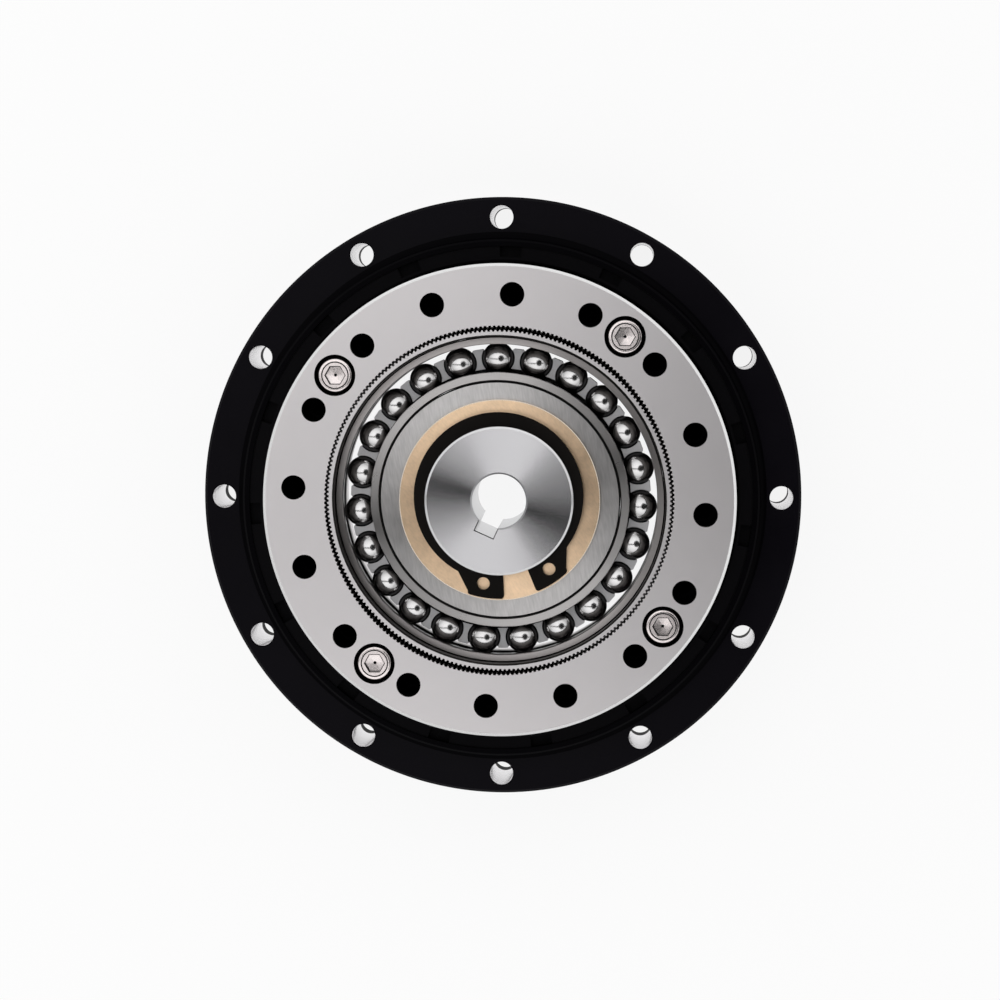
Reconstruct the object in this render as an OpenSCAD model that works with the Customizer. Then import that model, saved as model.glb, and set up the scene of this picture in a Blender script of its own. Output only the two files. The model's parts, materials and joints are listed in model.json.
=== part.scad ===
// Strain wave gear with a silk-hat flexspline, a crossed-roller output bearing
// and a wave generator driven through an Oldham coupling.
// The gear axis is Z. The rear mounting face is at z = 0 and the output face looks up.

/* [Gear] */
// Number of teeth on the flexspline; the circular spline has two more
flex_teeth = 240; // [160:2:240]
// Diameter of the flexspline's pitch circle before it is bent
pitch_d = 50.8; // [50.4:0.1:51.2]
// How far the wave lifts the flexspline at the long axis
wave_h = 0.22; // [0.18:0.01:0.24]
// Width of the flexspline's toothed rim
tooth_w = 8.6; // [8:0.1:9.4]
// Distance from the output face down to the flexspline's rim
rim_recess = 0.4; // [0.2:0.1:1]
// Thickness of the flexspline's rim under its teeth
rim_wall = 0.79; // [0.6:0.01:0.85]
// Thickness of the flexspline's tube
tube_wall = 0.42; // [0.3:0.01:0.5]

/* [Flexspline flange] */
// Thickness of the bolted flange
flange_t = 3; // [2.5:0.1:5]
// Radial width of the bolted flange
flange_ring_w = 8; // [7.6:0.1:9]
// How far the flange stays inside the outer ring's diameter
flange_relief = 0.5; // [0.5:0.05:0.7]
// Thickness of the thin diaphragm
diaphragm_t = 0.45; // [0.35:0.05:0.7]
// Height of the diaphragm above the rear face
diaphragm_z = 1.2; // [0.8:0.1:1.6]
// Radius of the bend from the diaphragm into the tube
bend_r = 2; // [1.5:0.1:2.4]

/* [Circular spline] */
// Thickness of the circular spline
spline_t = 9.6; // [9:0.1:10.4]
// Outer diameter of the circular spline, the output pilot
spline_d = 70; // [69.4:0.1:72]
// Length of the rim that stands out as the output pilot
pilot_l = 4.2; // [3.8:0.1:4.2]
// How far the circular spline is cut back behind its pilot
pilot_relief = 0.5; // [0.4:0.05:0.8]
// Chamfer on the rims
rim_chamfer = 0.4; // [0.2:0.05:0.6]
// Number of output bolt holes
output_holes = 16; // [8:8:16]
// Diameter of an output bolt hole
output_hole_d = 3.5; // [3.2:0.1:3.8]
// Distance from the rim to the output bolt circle
output_hole_edge = 4.5; // [4.2:0.1:4.8]
// Minor diameter of the tapped holes in the bearing's inner ring
tapped_d = 2.5; // [2.4:0.05:2.9]
// Height of the centring step between the inner ring and the circular spline
step_h = 0.8; // [0.5:0.1:1.2]
// Radial width of the centring step
step_w = 0.8; // [0.6:0.1:1]

/* [Output bearing] */
// Height of the outer ring's flange
ring_h = 13.2; // [12.8:0.1:18]
// Height of the raised shoulder above that flange
shoulder_h = 4.5; // [3.5:0.1:6]
// Thickness of the wall round the front seal
shoulder_wall = 1; // [0.8:0.1:2]
// Radius of the fillet at the foot of the shoulder
shoulder_fillet = 1.2; // [0.8:0.1:1.6]
// How far the circular spline stands above the shoulder
spline_proud = 4.3; // [3.5:0.1:4.8]
// Radial width of the flange outside the shoulder
flange_w = 6.4; // [6.2:0.1:9]
// Diameter of a crossed roller
roller_d = 3.6; // [3:0.1:3.8]
// Number of crossed rollers, an even number
rollers = 48; // [40:2:48]
// Distance from the circular spline's rim out to the roller circle
roller_step = 1.4; // [1.2:0.05:1.6]
// Gap between the bearing's inner and outer rings
ring_gap = 0.5; // [0.4:0.05:0.8]
// Height of the inner ring's rear face above the flexspline's flange
inner_lift = 1; // [0.8:0.1:1.4]
// Radial thickness of the inner ring inside its bolt circle
inner_wall = 3.1; // [2.6:0.1:3.3]
// Number of mounting holes in the flange
mount_holes = 12; // [6:6:12]
// Diameter of a mounting hole
mount_hole_d = 3.5; // [3:0.1:3.8]
// Distance from the flange's rim to the mounting bolt circle
mount_hole_edge = 3; // [2.9:0.1:3.2]
// Diameter of the plug that closes the roller filling hole
fill_plug_d = 5.4; // [5.2:0.1:6]
// Diameter of the pin that holds the filling plug
fill_pin_d = 1.6; // [1.2:0.1:2]
// Thickness of the rubber ring in the rear face of the outer ring
oring_d = 0.74; // [0.6:0.02:0.8]
// Distance from the flange's recess out to the middle of the rubber ring
oring_step = 1.9; // [1.6:0.1:2.1]

/* [Front seal ring] */
// Radial width of the seal ring
seal_w = 2.2; // [2:0.1:2.6]
// Thickness of the seal ring
seal_t = 1.8; // [1.4:0.1:2.4]
// How far the seal ring lies below the shoulder
seal_recess = 0.3; // [0.1:0.1:0.8]
// Running gap between the seal ring and the circular spline
seal_gap = 0.4; // [0.3:0.05:0.5]
// Number of notches in the seal ring
seal_notches = 15; // [5:5:15]
// Width of a notch
notch_w = 3.2; // [2:0.1:4]
// Depth of a notch
notch_depth = 1; // [0.6:0.1:1.2]

/* [Wave bearing] */
// Distance from the output face down to the bearing
bearing_recess = 2.7; // [2.4:0.1:3.2]
// Width of the bearing
bearing_w = 7; // [6.6:0.1:7.2]
// Number of balls
balls = 23; // [18:1:23]
// Diameter of a ball
ball_d = 4.7625; // [4.5:0.0125:4.8]
// Play between the balls and the grooves at their closest
ball_play = 0.03; // [0.02:0.01:0.05]
// Radius of the ball grooves
groove_r = 2.5; // [2.45:0.01:2.6]
// Thickness of the outer race at the bottom of its groove
outer_race_wall = 0.72; // [0.6:0.01:0.9]
// Thickness of the inner race at the bottom of its groove
inner_race_wall = 0.59; // [0.5:0.01:0.7]
// Depth of the outer race's groove
outer_groove = 0.38; // [0.3:0.01:0.4]
// Depth of the inner race's groove
inner_groove = 0.73; // [0.6:0.01:0.74]
// Gap between the cage and the inner race at the wave's long axis
cage_gap = 0.13; // [0.1:0.01:0.2]
// Radial width of the ball cage
cage_w = 2.85; // [2.4:0.05:3]
// Height of the cage's pillars above the ball centres
cage_above = 0.6; // [0.3:0.1:1]
// Thickness of the cage's ring behind the balls
cage_back = 0.62; // [0.5:0.01:0.7]

/* [Wave generator] */
// Bore for the motor shaft
shaft_d = 8; // [6:0.5:10]
// Width of the keyway
key_w = 3; // [2:0.5:3]
// Depth of the keyway beyond the bore
key_depth = 1.4; // [1:0.1:1.8]
// Outer diameter of the hub
hub_d = 22; // [21:0.1:22.2]
// Length of the hub
hub_l = 18; // [17.6:0.1:20]
// Height of the hub's rear flange
hub_flange_t = 3.9; // [3.4:0.1:4.1]
// Outer diameter of the Oldham disc and the hub's flange
oldham_d = 30.8; // [30:0.1:31]
// Thickness of the Oldham disc
oldham_t = 4; // [3.6:0.1:4.2]
// Width of the Oldham tabs
tab_w = 5; // [4:0.1:6]
// Height of the Oldham tabs
tab_h = 2.6; // [2.2:0.1:2.8]
// Travel of the Oldham coupling each way
oldham_float = 0.3; // [0.2:0.05:0.35]
// Axial play between the coupling's faces
oldham_play = 0.2; // [0.1:0.05:0.25]
// Thickness of the rub washer
washer_t = 0.5; // [0.4:0.05:0.6]
// Outer diameter of the rub washer
washer_d = 29.84; // [28:0.1:30.4]

/* [Snap ring] */
// Thickness of the snap ring
snap_t = 1.2; // [1:0.1:1.3]
// Depth of the snap ring's groove in the hub
snap_groove = 0.55; // [0.4:0.05:0.7]
// Radial width of the ring opposite its gap
snap_back_w = 2.6; // [2.2:0.1:3]
// Radial width of the ring beside its lugs
snap_side_w = 1.5; // [1.2:0.1:1.8]
// Radius that the lugs reach to
lug_reach = 14.6; // [13.8:0.1:14.8]
// Diameter of the plier holes in the lugs
lug_hole_d = 1.9; // [1.5:0.1:2]
// Half of the angle of the gap
snap_gap = 9.8; // [6:0.2:12]
// Angle that each lug covers
lug_angle = 22; // [20:0.5:24]

/* [Fasteners] */
// Nominal diameter of the screws that hold the circular spline
spline_screw_d = 3; // [2.5:0.5:3]
// Length of those screws under the head
spline_screw_l = 12; // [10:0.5:14]
// Number of those screws
spline_screws_n = 4; // [2:2:4]
// Diameter of their heads
head_d = 5.3; // [5:0.1:5.5]
// Height of their heads
head_h = 3; // [2.5:0.1:3]
// Width across the flats of their sockets
hex_w = 2.5; // [2:0.1:2.6]
// How far the heads lie below the output face
head_recess = 0.3; // [0.2:0.1:0.6]
// Nominal diameter of the countersunk rear screws
rear_screw_d = 2; // [1.6:0.1:2.2]
// Length of the countersunk rear screws
rear_screw_l = 8; // [6:0.5:9]
// Number of rear screws
rear_screws_n = 4; // [2:2:4]

/* [Stored pose] */
// Angle of the wave's long axis
wave_angle = -26; // [-90:1:90]
// Angle of one of the circular spline's screws
output_angle = 52.6; // [0:0.1:90]
// Angle of the keyway
key_angle = -114.3; // [-180:0.1:180]
// Angle of the middle of the snap ring's gap
snap_angle = -77.4; // [-180:0.1:180]
// Angle of one ball
ball_angle = 91; // [0:0.5:120]
// Angle of one notch of the seal ring
notch_angle = 15.6; // [0:0.1:24]
// Angle of the roller filling plug
fill_angle = 225; // [225:30:255]

/* [Fits] */
// Gap between pieces that are pressed or seated together
seat_gap = 0.02; // [0.01:0.005:0.03]
// Running gap of the rollers, tabs and cage
run_gap = 0.05; // [0.03:0.01:0.06]
// Clearance round the countersunk screws
screw_gap = 0.1; // [0.05:0.01:0.15]
// Clearance round a screw's head in its counterbore
head_gap = 0.35; // [0.2:0.05:0.45]

/* [Hidden] */

// Sides of a true round and of a lofted or bent ring
round_fn = 96;
loft_sides = 96;
ellipse_sides = 180;
eps = 0.01;
deg = 180 / PI;

// Gear: tooth heights as shares of the module, and half widths as shares of the pitch
tooth_module = pitch_d / flex_teeth;
pitch = PI * tooth_module;
spline_teeth = flex_teeth + 2;
flex_tip_r = pitch_d / 2 + 0.57 * tooth_module;
flex_root_r = pitch_d / 2 - 1.13 * tooth_module;
tip_play = 0.38 * tooth_module;
root_play = 0.19 * tooth_module;
spline_tip_r = flex_root_r + wave_h + root_play;
spline_root_r = flex_tip_r + wave_h + tip_play;
flex_root_half = 0.39 * pitch;
flex_tip_half = 0.15 * pitch;
spline_tip_half = 0.414 * pitch;
spline_root_half = 0.165 * pitch;
rim_bore_r = flex_root_r - rim_wall;
neutral_r = (flex_root_r + rim_bore_r) / 2;

// Axial stations
ring_top = flange_t + ring_h;
shoulder_top = ring_top + shoulder_h;
front_z = shoulder_top + spline_proud;
spline_z = front_z - spline_t;
inner_z = flange_t + inner_lift;
roller_z = (inner_z + spline_z) / 2;
rim_top = front_z - rim_recess;
rim_z = rim_top - tooth_w;
bearing_top = front_z - bearing_recess;
bearing_z = bearing_top - bearing_w;
ball_z = bearing_z + bearing_w / 2;
seal_top = shoulder_top - seal_recess;
seal_z = seal_top - seal_t;
hub_z = front_z - hub_l;
hub_flange_top = hub_z + hub_flange_t;
disc_z = hub_flange_top + oldham_play;
disc_top = disc_z + oldham_t;
washer_z = bearing_top + seat_gap;
snap_z = washer_z + washer_t + seat_gap;

// Radial stations
spline_r = spline_d / 2;
seal_bore_r = spline_r + seal_gap;
seal_seat_r = seal_bore_r + seal_w;
shoulder_r = seal_seat_r + shoulder_wall;
housing_r = shoulder_r + flange_w;
mount_r = housing_r - mount_hole_edge;
output_r = spline_r - output_hole_edge;
roller_r = spline_r + roller_step;
ring_bore_r = roller_r + ring_gap / 2;
inner_ring_r = roller_r - ring_gap / 2;
inner_bore_r = output_r - inner_wall;
step_r = inner_bore_r + step_w;
flange_bore_r = housing_r - flange_ring_w;
groove_half = roller_d / 2 + run_gap;
spacer_side = roller_d - 6 * run_gap;
oring_r = flange_bore_r + oring_step;

// Wave bearing
outer_race_r = rim_bore_r - seat_gap;
outer_bottom_r = outer_race_r - outer_race_wall;
ball_circle_r = outer_bottom_r - wave_h - ball_play - ball_d / 2;
outer_shoulder_r = outer_bottom_r - outer_groove;
inner_bottom_r = ball_circle_r - ball_d / 2 - ball_play - wave_h;
inner_shoulder_r = inner_bottom_r + inner_groove;
inner_race_bore_r = inner_bottom_r - inner_race_wall;
cage_r = inner_shoulder_r + wave_h + cage_gap;
cage_z = ball_z - ball_d / 2 - run_gap - cage_back;
pocket_r = ball_d / 2 + 2 * run_gap;

// Wave generator
plug_r = inner_race_bore_r - 2 * seat_gap;
hub_r = hub_d / 2;
coupling_bore_r = hub_r + oldham_float * sqrt(2) + 2.6 * run_gap;
tab_in_r = coupling_bore_r + oldham_play;
oldham_r = oldham_d / 2;
slot_reach = oldham_r + 2 * oldham_float;
slot_depth = tab_h + oldham_play;
snap_r = hub_r - snap_groove + run_gap;

// Rings and arcs as lists of points
function arc(x, z, r, a0, a1, n) =
    [for (i = [0:n]) let (a = a0 + (a1 - a0) * i / n) [x + r * cos(a), z + r * sin(a)]];

// A circle of radius r that the wave has bent, with the share f of the wave's height
function bent(r, a, f = 1) = r + wave_h * f * cos(2 * (a - wave_angle));
function bent_ring(r, n = ellipse_sides) =
    [for (i = [0:n - 1]) let (a = 360 * i / n, q = bent(r, a)) [q * cos(a), q * sin(a)]];

// A point of the bent rim: a is its place before bending, x runs along the rim and y outwards
function on_rim(a, x, y) =
    let (d = 2 * (a - wave_angle),
         q = neutral_r + wave_h * cos(d),
         b = a - deg * wave_h / 2 * sin(d) / neutral_r,
         c = b + deg * 1.5 * wave_h * sin(d) / neutral_r)
    [q * cos(b) + y * cos(c) - x * sin(c), q * sin(b) + y * sin(c) + x * cos(c)];

// Outline of the flexspline's teeth, bent into the wave
function flex_outline() =
    [for (i = [0:flex_teeth - 1]) let (a = wave_angle + 360 * i / flex_teeth)
        for (p = [[-flex_root_half, flex_root_r], [-flex_tip_half, flex_tip_r],
                  [flex_tip_half, flex_tip_r], [flex_root_half, flex_root_r]])
            on_rim(a, p[0], p[1] - neutral_r)];

// Outline of the circular spline's teeth: one tooth space after another
function spline_outline() =
    [for (i = [0:spline_teeth - 1]) let (a = wave_angle + 360 * i / spline_teeth)
        for (p = [[-spline_tip_half, spline_tip_r], [-spline_root_half, spline_root_r],
                  [spline_root_half, spline_root_r], [spline_tip_half, spline_tip_r]])
            let (b = a + deg * p[0] / p[1]) [p[1] * cos(b), p[1] * sin(b)]];

// Carries a closed profile of [radius, height, share of the wave] round the bent circle
module bent_sweep(profile, n = loft_sides) {
    m = len(profile);
    points = [for (j = [0:n - 1]) let (a = 360 * j / n)
                  for (p = profile) let (q = bent(p[0], a, p[2])) [q * cos(a), q * sin(a), p[1]]];
    faces = [for (j = [0:n - 1]) for (k = [0:m - 1])
                 let (h = (j + 1) % n, l = (k + 1) % m,
                      a = j * m + k, b = j * m + l, c = h * m + l, d = h * m + k)
                 for (t = [[a, b, c], [a, c, d]]) t];
    polyhedron(points, faces);
}

module ring_of(n, r, start = 0) {
    for (i = [0:n - 1])
        rotate([0, 0, start + 360 * i / n]) translate([r, 0, 0]) children();
}

module drill(d, z0, z1) {
    translate([0, 0, z0]) cylinder(d = d, h = z1 - z0, $fn = 32);
}

// Places of the small countersunk screws, between the mounting holes
module at_rear_screws() {
    ring_of(rear_screws_n, mount_r, 180 / mount_holes) children();
}

module rear_screw_form(gap) {
    r = rear_screw_d / 2 + gap;
    rotate_extrude($fn = 32)
        polygon([[0, 0], [0.95 * rear_screw_d + gap, 0], [r, 0.95 * rear_screw_d - rear_screw_d / 2],
                 [r, rear_screw_l + gap], [0, rear_screw_l + gap]]);
}

// The flexspline: toothed rim, thin tube, diaphragm and bolted flange
module flexspline() color([0.62, 0.62, 0.63]) {
    tube_in = rim_bore_r + 0.06;
    tube_out = tube_in + tube_wall;
    foot_in = tube_in - 0.07;
    foot_out = tube_out + 0.07;
    foot_top = diaphragm_z + diaphragm_t + bend_r + 1;
    join = 0.5;
    flange_r = housing_r - flange_relief;
    under = diaphragm_z;
    over = diaphragm_z + diaphragm_t;
    // rim
    difference() {
        translate([0, 0, rim_z]) linear_extrude(tooth_w) polygon(flex_outline());
        translate([0, 0, rim_z - 1]) linear_extrude(tooth_w + 2) polygon(bent_ring(rim_bore_r));
    }
    // tube, bent more and more towards the rim
    share = 1 / (rim_z - under);
    bent_sweep([[tube_out, foot_top - join, (foot_top - join - under) * share],
                [tube_out, rim_z, 1], [tube_out, rim_z + join, 1],
                [tube_in, rim_z + join, 1], [tube_in, rim_z, 1],
                [tube_in, foot_top - join, (foot_top - join - under) * share]]);
    // foot, diaphragm and flange
    difference() {
        rotate_extrude($fn = round_fn)
            polygon(concat(
                [[flange_r, 0], [flange_r, flange_t]],
                [[flange_bore_r + 0.6, flange_t]],
                arc(flange_bore_r - 0.7, over + 0.8, 0.8, 0, -90, 4),
                arc(foot_out + bend_r, over + bend_r, bend_r, 270, 180, 8),
                [[foot_out, foot_top], [foot_in, foot_top]],
                arc(foot_out + bend_r, over + bend_r, foot_out - foot_in + bend_r, 180, 270, 8),
                arc(flange_bore_r - 0.9, under - 0.6, 0.6, 90, 0, 4),
                [[flange_bore_r, 0]]));
        ring_of(mount_holes, mount_r) drill(mount_hole_d, -1, flange_t + 1);
        at_rear_screws() translate([0, 0, -eps]) rear_screw_form(screw_gap);
    }
}

module ring_outline() {
    polygon(concat(
        [[ring_bore_r, flange_t], [housing_r - rim_chamfer / 2, flange_t],
         [housing_r, flange_t + rim_chamfer / 2], [housing_r, ring_top - rim_chamfer],
         [housing_r - rim_chamfer, ring_top]],
        arc(shoulder_r + shoulder_fillet, ring_top + shoulder_fillet, shoulder_fillet, 270, 180, 6),
        [[shoulder_r, shoulder_top - 0.3], [shoulder_r - 0.3, shoulder_top],
         [seal_seat_r, shoulder_top], [seal_seat_r, seal_z], [ring_bore_r, seal_z]]));
}

module roller_groove() {
    rotate_extrude($fn = round_fn)
        translate([roller_r, roller_z]) rotate(45) square(2 * groove_half, center = true);
}

module filling_bore(gap) {
    rotate([0, 0, fill_angle]) translate([ring_bore_r - 2, 0, roller_z])
        rotate([0, 90, 0]) cylinder(d = fill_plug_d + 2 * gap, h = housing_r, $fn = 48);
}

// The pin, or the hole for it when gap is above 0: the hole starts lower and ends higher
module filling_pin_form(gap) {
    z0 = gap > 0 ? flange_t - 1 : flange_t;
    z1 = roller_z + fill_plug_d / 4 + gap;
    rotate([0, 0, fill_angle]) translate([mount_r, 0, 0]) drill(fill_pin_d + 2 * gap, z0, z1);
}

// The bearing's flanged outer ring
module bearing_outer_ring() color([0.09, 0.09, 0.1]) difference() {
    rotate_extrude($fn = round_fn) ring_outline();
    roller_groove();
    filling_bore(seat_gap);
    filling_pin_form(seat_gap);
    ring_of(mount_holes, mount_r) drill(mount_hole_d, 0, ring_top + 1);
    at_rear_screws() drill(rear_screw_d + 2 * seat_gap, 0, rear_screw_l + 0.6);
    rotate_extrude($fn = round_fn)
        translate([oring_r - oring_d / 2 - seat_gap, flange_t - 1])
            square([oring_d + 2 * seat_gap, 1 + oring_d + seat_gap]);
}

module filling_plug() color([0.35, 0.35, 0.37]) difference() {
    intersection() {
        filling_bore(0);
        rotate_extrude($fn = round_fn)
            translate([ring_bore_r, flange_t]) square([housing_r - ring_bore_r - 0.1, ring_h]);
    }
    roller_groove();
    filling_pin_form(seat_gap);
}

module filling_plug_pin() color([0.7, 0.7, 0.72]) filling_pin_form(0);

module flange_oring() color([0.1, 0.1, 0.1])
    rotate_extrude($fn = round_fn)
        translate([oring_r, flange_t + oring_d / 2 + seat_gap / 2]) circle(d = oring_d, $fn = 32);

module rear_screws() color([0.3, 0.3, 0.32]) at_rear_screws() difference() {
    translate([0, 0, 0.05]) rear_screw_form(0);
    translate([0, 0, -1]) cylinder(d = 0.65 * rear_screw_d, h = 1.6, $fn = 6);
}

module seal_ring() color([0.12, 0.12, 0.13]) difference() {
    rotate_extrude($fn = round_fn)
        polygon([[seal_bore_r, seal_z + 0.5], [seal_bore_r + 0.5, seal_z + seat_gap],
                 [seal_seat_r - seat_gap, seal_z + seat_gap], [seal_seat_r - seat_gap, seal_top],
                 [seal_bore_r + 0.2, seal_top], [seal_bore_r, seal_top - 0.2]]);
    ring_of(seal_notches, seal_bore_r + 0.6, notch_angle)
        translate([0, -notch_w / 2, seal_top - notch_depth]) cube([seal_w, notch_w, seal_t]);
}

function race_profile(outer) =
    let (s = outer ? 1 : -1,
         wall_r = outer ? outer_race_r : inner_race_bore_r,
         lip_r = outer ? outer_shoulder_r : inner_shoulder_r,
         centre_r = outer ? outer_bottom_r - groove_r : inner_bottom_r + groove_r,
         half = asin(sqrt(groove_r * groove_r - pow(lip_r - centre_r, 2)) / groove_r),
         c = 0.2,
         groove = arc(0, 0, groove_r, -half, half, 6),
         path = concat([[lip_r + s * c / 2, bearing_z + eps]],
                       [[lip_r, bearing_z + c]],
                       [for (p = groove) [centre_r + s * p[0], ball_z + p[1]]],
                       [[lip_r, bearing_top - c], [lip_r + s * c / 2, bearing_top - eps]],
                       [[wall_r - s * c, bearing_top], [wall_r, bearing_top - c]],
                       [[wall_r, bearing_z + c], [wall_r - s * c, bearing_z]]),
         n = len(path))
    [for (i = [0:n - 1]) let (p = path[outer ? n - 1 - i : i]) [p[0], p[1], 1]];

module wave_outer_race() color([0.5, 0.5, 0.5]) bent_sweep(race_profile(true));

module wave_inner_race() color([0.5, 0.5, 0.5]) bent_sweep(race_profile(false));

// The circular spline: internal teeth, output holes and counterbored screw holes
module circular_spline() color([0.76, 0.76, 0.75]) difference() {
    rotate_extrude($fn = round_fn)
        polygon([[flex_root_r - 2, spline_z], [spline_r - pilot_relief - rim_chamfer, spline_z],
                 [spline_r - pilot_relief, spline_z + rim_chamfer],
                 [spline_r - pilot_relief, front_z - pilot_l], [spline_r, front_z - pilot_l],
                 [spline_r, front_z - rim_chamfer],
                 [spline_r - rim_chamfer, front_z], [flex_root_r - 2, front_z]]);
    translate([0, 0, spline_z - 1]) linear_extrude(spline_t + 2) polygon(spline_outline());
    translate([0, 0, spline_z - 1])
        cylinder(r = step_r + seat_gap, h = 1 + step_h + seat_gap, $fn = round_fn);
    at_output_holes() drill(output_hole_d, spline_z - 1, front_z + 1);
    at_spline_screws() {
        drill(spline_screw_d + 2 * run_gap, spline_z - 1, front_z);
        drill(head_d + 2 * head_gap, front_z - head_recess - head_h, front_z + 1);
    }
}

module at_spline_screws() {
    ring_of(spline_screws_n, output_r, output_angle) children();
}

module at_output_holes() {
    ring_of(output_holes, output_r, output_angle + 180 / output_holes) children();
}

module bearing_inner_ring() color([0.5, 0.5, 0.52]) difference() {
    rotate_extrude($fn = round_fn)
        polygon([[inner_bore_r, inner_z + 0.3], [inner_bore_r + 0.3, inner_z],
                 [inner_ring_r - 0.3, inner_z], [inner_ring_r, inner_z + 0.3],
                 [inner_ring_r, spline_z - 0.3], [inner_ring_r - 0.3, spline_z],
                 [step_r, spline_z], [step_r, spline_z + step_h], [inner_bore_r, spline_z + step_h]]);
    roller_groove();
    at_output_holes() drill(tapped_d, inner_z - 1, spline_z + 1);
    at_spline_screws() drill(spline_screw_d + 2 * seat_gap, inner_z - 1, spline_z + 1);
}

module spline_screws() color([0.8, 0.74, 0.73]) at_spline_screws() {
    seat_z = front_z - head_recess - head_h;
    difference() {
        union() {
            translate([0, 0, seat_z]) rotate_extrude($fn = 48)
                polygon([[0, 0], [head_d / 2, 0], [head_d / 2, head_h - 0.35],
                         [head_d / 2 - 0.35, head_h], [0, head_h]]);
            translate([0, 0, seat_z - spline_screw_l])
                cylinder(d = spline_screw_d, h = spline_screw_l + eps, $fn = 32);
        }
        translate([0, 0, seat_z + head_h / 2])
            cylinder(d = hex_w / cos(30), h = head_h, $fn = 6);
    }
}

// One roller, tipped to one side or the other
module roller(k, grow = 0, length = roller_d - 4 * run_gap) {
    rotate([0, 0, 360 * k / rollers]) translate([roller_r, 0, roller_z])
        rotate([0, k % 2 == 0 ? 45 : -45, 0])
            cylinder(r = roller_d / 2 + grow, h = length, center = true, $fn = 32);
}

module crossed_rollers() color([0.82, 0.82, 0.83])
    for (k = [0:rollers - 1]) roller(k);

module roller_spacers() color([0.86, 0.84, 0.76])
    for (k = [0:rollers - 1]) difference() {
        rotate([0, 0, 360 * (k + 0.5) / rollers]) translate([roller_r, 0, roller_z])
            rotate([0, 45, 0]) cube([spacer_side, 0.72 * roller_d, spacer_side], center = true);
        roller(k, run_gap, 2 * roller_d);
        roller(k + 1, run_gap, 2 * roller_d);
    }

// The elliptical plug with the Oldham slots in its rear face
module wave_plug() color([0.66, 0.65, 0.66]) difference() {
    translate([0, 0, bearing_z]) linear_extrude(bearing_w) polygon(bent_ring(plug_r));
    translate([0, 0, bearing_z - 1]) cylinder(r = coupling_bore_r, h = bearing_w + 2, $fn = round_fn);
    oldham_slots(wave_angle + 90, bearing_z, slot_reach);
}

// Two slots cut upwards from height z, as long as reach
module oldham_slots(a, z, reach) {
    w = tab_w + 2 * run_gap;
    for (side = [0, 180])
        rotate([0, 0, a + side])
            translate([hub_r / 2, -w / 2, z - 1]) cube([reach - hub_r / 2, w, slot_depth + 1]);
}

// What is cut away above height z, outside radius inner, to leave two tabs along direction a
module tab_cutter(a, z, inner) {
    difference() {
        translate([0, 0, z]) cylinder(r = oldham_r + 1, h = tab_h + 1, $fn = round_fn);
        translate([0, 0, z - 1]) cylinder(r = inner, h = tab_h + 3, $fn = round_fn);
        rotate([0, 0, a]) translate([-oldham_r - 2, -tab_w / 2, z - 1])
            cube([2 * oldham_r + 4, tab_w, tab_h + 3]);
    }
}

// The floating disc: slots behind for the hub's tabs, tabs in front for the plug's slots
module oldham_disc() color([0.45, 0.45, 0.47]) difference() {
    translate([0, 0, disc_z]) cylinder(r = oldham_r, h = oldham_t + tab_h, $fn = round_fn);
    translate([0, 0, disc_z - 1])
        cylinder(r = coupling_bore_r, h = oldham_t + tab_h + 2, $fn = round_fn);
    translate([0, 0, disc_top]) cylinder(r = tab_in_r, h = tab_h + 1, $fn = round_fn);
    tab_cutter(wave_angle + 90, disc_top, hub_r / 2);
    oldham_slots(wave_angle, disc_z, oldham_r + 1);
}

// The hub: flanged behind, grooved for the snap ring and bored for the shaft
module input_hub() color([0.85, 0.85, 0.86]) {
    chamfer = 0.45;
    difference() {
        rotate_extrude($fn = round_fn)
            polygon([[0, hub_z], [oldham_r - 0.5, hub_z], [oldham_r, hub_z + 0.5],
                     [oldham_r, hub_flange_top + tab_h], [tab_in_r, hub_flange_top + tab_h],
                     [tab_in_r, hub_flange_top], [hub_r, hub_flange_top],
                     [hub_r, snap_z - run_gap], [hub_r - snap_groove, snap_z - run_gap],
                     [hub_r - snap_groove, snap_z + snap_t + run_gap],
                     [hub_r, snap_z + snap_t + run_gap],
                     [hub_r, front_z - chamfer], [hub_r - chamfer, front_z], [0, front_z]]);
        translate([0, 0, hub_z - 1]) cylinder(d = shaft_d, h = hub_l + 2, $fn = round_fn);
        bore_chamfers();
        tab_cutter(wave_angle, hub_flange_top, (hub_r + tab_in_r) / 2);
        rotate([0, 0, key_angle]) translate([0, -key_w / 2, hub_z - 1])
            cube([shaft_d / 2 + key_depth, key_w, hub_l + 2]);
    }
}

// Cones that break the edges of the shaft bore at both ends
module bore_chamfers() {
    c = 0.25;
    translate([0, 0, hub_z - eps])
        cylinder(d1 = shaft_d + 2 * c, d2 = shaft_d - eps, h = c, $fn = round_fn);
    translate([0, 0, front_z - c + eps])
        cylinder(d1 = shaft_d - eps, d2 = shaft_d + 2 * c, h = c, $fn = round_fn);
}

module rub_washer() color([0.8, 0.66, 0.47]) difference() {
    translate([0, 0, washer_z]) cylinder(d = washer_d, h = washer_t, $fn = round_fn);
    translate([0, 0, washer_z - 1]) cylinder(r = hub_r + run_gap, h = washer_t + 2, $fn = round_fn);
}

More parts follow.
